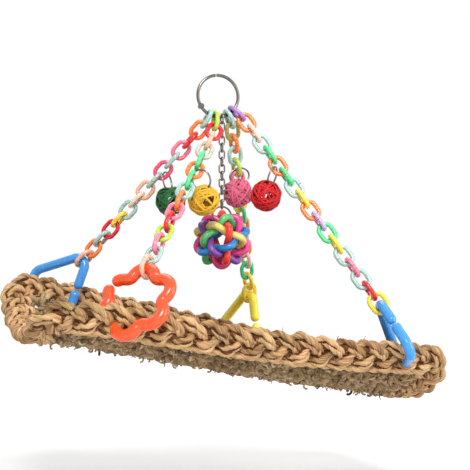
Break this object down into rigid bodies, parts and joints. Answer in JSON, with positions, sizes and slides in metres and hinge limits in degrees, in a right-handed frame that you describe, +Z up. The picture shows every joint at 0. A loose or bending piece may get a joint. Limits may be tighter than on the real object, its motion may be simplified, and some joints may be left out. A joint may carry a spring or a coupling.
{
  "type": "bird climbing net",
  "caption": "Hanging bird cage toy: a woven seagrass hammock slung by coloured link chains from a steel ring, with a woven ball and wicker balls.",
  "frame": {"origin": "seat of the cage hook, inside the top of the hanging ring", "axes": "+X along the net's long side towards its lower end, +Y across the net away from the near border, +Z up"},
  "size_m": [0.3098, 0.2264, 0.2614],
  "materials": {
    "steel": "bright nickel plate",
    "chain_plastic": "mixed translucent colours, glossy",
    "clip_blue": "glossy",
    "clip_orange": "glossy",
    "clip_yellow": "glossy",
    "seagrass": "dry twisted grass, matt",
    "hoop_red": "soft vinyl",
    "hoop_green": "soft vinyl",
    "hoop_purple": "soft vinyl",
    "hoop_yellow": "soft vinyl",
    "hoop_pink": "soft vinyl",
    "hoop_blue": "soft vinyl",
    "cane_green": "dyed cane",
    "cane_yellow": "dyed cane",
    "cane_pink": "dyed cane",
    "cane_red": "dyed cane"
  },
  "bodies": {
    "hanger": {"ring_body": "steel", "ring_rivet": "steel"},
    "gate": {"ring_gate": "steel"},
    "net": {"top_link_left": "chain_plastic", "top_link_front": "chain_plastic", "top_link_back": "chain_plastic", "top_link_right": "chain_plastic", "chain_left": "chain_plastic", "chain_front": "chain_plastic", "chain_back": "chain_plastic", "chain_right": "chain_plastic", "end_link_left": "chain_plastic", "end_link_front": "chain_plastic", "end_link_back": "chain_plastic", "end_link_right": "chain_plastic", "clip_left": "clip_blue", "clip_front": "clip_orange", "clip_back": "clip_yellow", "clip_right": "clip_blue", "net_body": "seagrass", "net_border": "seagrass"},
    "steel_chain": {"toy_jump_ring": "steel", "toy_chain": "steel"},
    "woven_ball": {"toy_ball_ring": "steel", "ball_hoop_red": "hoop_red", "ball_hoop_green": "hoop_green", "ball_hoop_purple": "hoop_purple", "ball_hoop_yellow": "hoop_yellow", "ball_hoop_pink": "hoop_pink", "ball_hoop_blue": "hoop_blue"},
    "wicker_green": {"wicker_ball_green": "cane_green", "wicker_ring_left": "steel"},
    "wicker_yellow": {"wicker_ball_yellow": "cane_yellow", "wicker_ring_front": "steel"},
    "wicker_pink": {"wicker_ball_pink": "cane_pink", "wicker_ring_back": "steel"},
    "wicker_red": {"wicker_ball_red": "cane_red", "wicker_ring_right": "steel"}
  },
  "joints": [
    {"name": "gate_hinge", "type": "hinge", "parent": "hanger", "child": "gate", "pos_m": [-0.01382, 0, -0.02364], "axis": [0, -1, 0], "range_deg": [0, 60]},
    {"name": "net_swing", "type": "hinge", "parent": "hanger", "child": "net", "pos_m": [0, 0, -0.02853], "axis": [1, 0, 0], "range_deg": [-10, 10]},
    {"name": "steel_chain_swing", "type": "hinge", "parent": "net", "child": "steel_chain", "pos_m": [0.00311, 0, -0.031], "axis": [0, 1, 0], "range_deg": [-4, 4]},
    {"name": "woven_ball_turn", "type": "hinge", "parent": "steel_chain", "child": "woven_ball", "pos_m": [0.00311, 0, -0.10878], "axis": [0, 0, 1], "range_deg": [-25, 25]},
    {"name": "wicker_green_swing", "type": "hinge", "parent": "net", "child": "wicker_green", "pos_m": [-0.03441, 0.02582, -0.07607], "axis": [0.5478, -0.4559, 0.7015], "range_deg": [-10, 10]},
    {"name": "wicker_yellow_swing", "type": "hinge", "parent": "net", "child": "wicker_yellow", "pos_m": [-0.02258, -0.02926, -0.07964], "axis": [0.4776, 0.4661, 0.7448], "range_deg": [-10, 6]},
    {"name": "wicker_pink_swing", "type": "hinge", "parent": "net", "child": "wicker_pink", "pos_m": [0.02323, 0.01658, -0.07127], "axis": [-0.2462, -0.4533, 0.8567], "range_deg": [-10, 10]},
    {"name": "wicker_red_swing", "type": "hinge", "parent": "net", "child": "wicker_red", "pos_m": [0.03789, -0.02266, -0.07463], "axis": [-0.4589, 0.3832, 0.8016], "range_deg": [-10, 10]}
  ]
}
